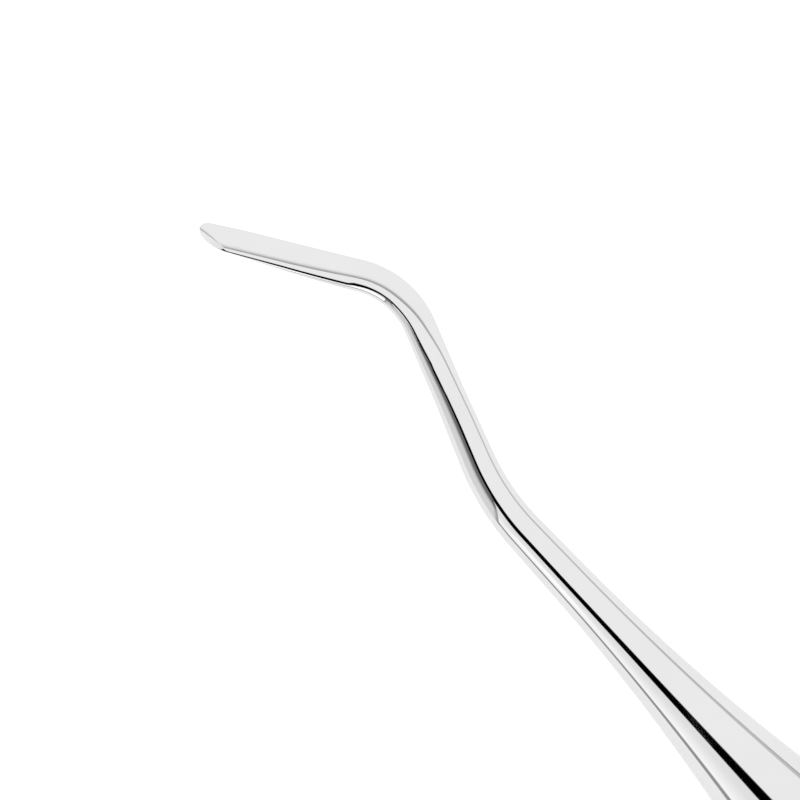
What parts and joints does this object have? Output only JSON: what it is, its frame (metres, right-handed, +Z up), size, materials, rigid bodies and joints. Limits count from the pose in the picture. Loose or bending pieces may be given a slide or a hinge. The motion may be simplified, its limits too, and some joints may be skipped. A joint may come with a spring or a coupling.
{
  "type": "dental elevator",
  "caption": "Curved dental root elevator: one polished forging with a bent shank and a narrow flat-faced blade, brazed into a hollow eight-sided metal handle.",
  "frame": {"origin": "middle of the handle's lower flat, on the table the instrument lies on", "axes": "+X along the handle's axis towards the working end, +Z up, +Y completes the right-handed frame; both bends lie parallel to the XY plane and the shank leans towards -Y"},
  "size_m": [0.1596, 0.0145, 0.012],
  "materials": {
    "polished_steel": "mirror-polished stainless steel",
    "satin_steel": "satin stainless steel",
    "turned_steel": "as turned",
    "silver_braze": "smooth, slightly warm silver braze"
  },
  "bodies": {
    "root": {"working_end": "polished_steel", "handle_shell": "satin_steel", "tang_socket": "turned_steel", "tang_pin": "turned_steel", "front_braze_ring": "silver_braze", "end_cap": "satin_steel", "rear_braze_ring": "silver_braze"}
  },
  "joints": []
}
